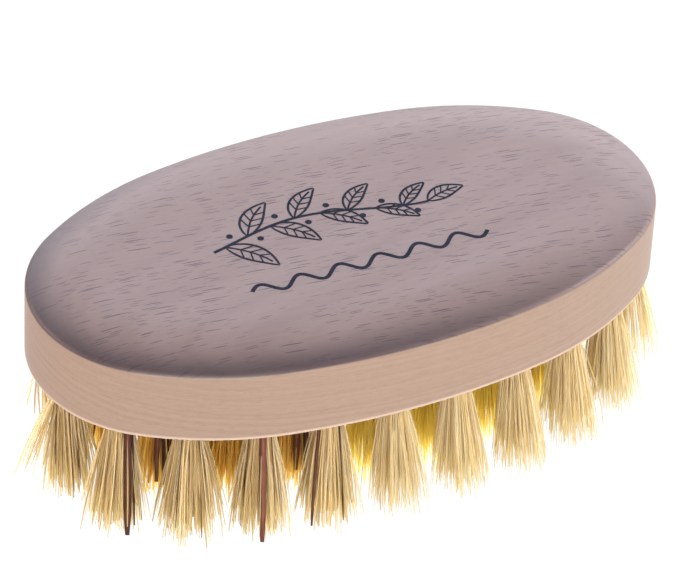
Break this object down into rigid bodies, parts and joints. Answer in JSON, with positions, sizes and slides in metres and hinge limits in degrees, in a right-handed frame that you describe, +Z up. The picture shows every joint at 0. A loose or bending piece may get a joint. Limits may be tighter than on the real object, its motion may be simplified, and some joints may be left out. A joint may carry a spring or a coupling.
{
  "type": "vegetable brush",
  "caption": "Hand brush for scrubbing vegetables: an oval beech block with a soft crowned top, and staple-set tufts of plant fibre below, coarse at one end and fine at the other.",
  "frame": {"origin": "on the surface that the brush stands on, at the level of the bristle tips, under the middle of the block", "axes": "+X along the block's length, towards the end with fine fibre; +Y across it; +Z up, out of the block's flat top"},
  "size_m": [0.1388, 0.0776, 0.045],
  "materials": {
    "beech": "sanded and unvarnished, with short dark flecks along the grain",
    "coarse_fibre": "stiff beige plant fibre mixed with flat dark brown fibres",
    "fine_fibre": "fine pale yellow plant fibre, slightly glossy",
    "anchor_wire": "flat drawn wire"
  },
  "bodies": {
    "root": {"block": "beech", "anchors": "anchor_wire", "tuft_rim_01": "fine_fibre", "tuft_rim_02": "fine_fibre", "tuft_rim_03": "fine_fibre", "tuft_rim_04": "fine_fibre", "tuft_rim_05": "fine_fibre", "tuft_rim_06": "fine_fibre", "tuft_rim_07": "fine_fibre", "tuft_rim_08": "coarse_fibre", "tuft_rim_09": "coarse_fibre", "tuft_rim_10": "coarse_fibre", "tuft_rim_11": "coarse_fibre", "tuft_rim_12": "coarse_fibre", "tuft_rim_13": "coarse_fibre", "tuft_rim_14": "coarse_fibre", "tuft_rim_15": "coarse_fibre", "tuft_rim_16": "coarse_fibre", "tuft_rim_17": "fine_fibre", "tuft_rim_18": "fine_fibre", "tuft_rim_19": "fine_fibre", "tuft_rim_20": "fine_fibre", "tuft_rim_21": "fine_fibre", "tuft_rim_22": "fine_fibre", "tuft_mid_01": "fine_fibre", "tuft_mid_02": "fine_fibre", "tuft_mid_03": "fine_fibre", "tuft_mid_04": "fine_fibre", "tuft_mid_05": "fine_fibre", "tuft_mid_06": "fine_fibre", "tuft_mid_07": "coarse_fibre", "tuft_mid_08": "coarse_fibre", "tuft_mid_09": "coarse_fibre", "tuft_mid_10": "coarse_fibre", "tuft_mid_11": "coarse_fibre", "tuft_mid_12": "coarse_fibre", "tuft_mid_13": "fine_fibre", "tuft_mid_14": "fine_fibre", "tuft_mid_15": "fine_fibre", "tuft_mid_16": "fine_fibre", "tuft_core_01": "fine_fibre", "tuft_core_02": "fine_fibre", "tuft_core_03": "fine_fibre", "tuft_core_04": "fine_fibre", "tuft_core_05": "coarse_fibre", "tuft_core_06": "coarse_fibre"}
  },
  "joints": []
}
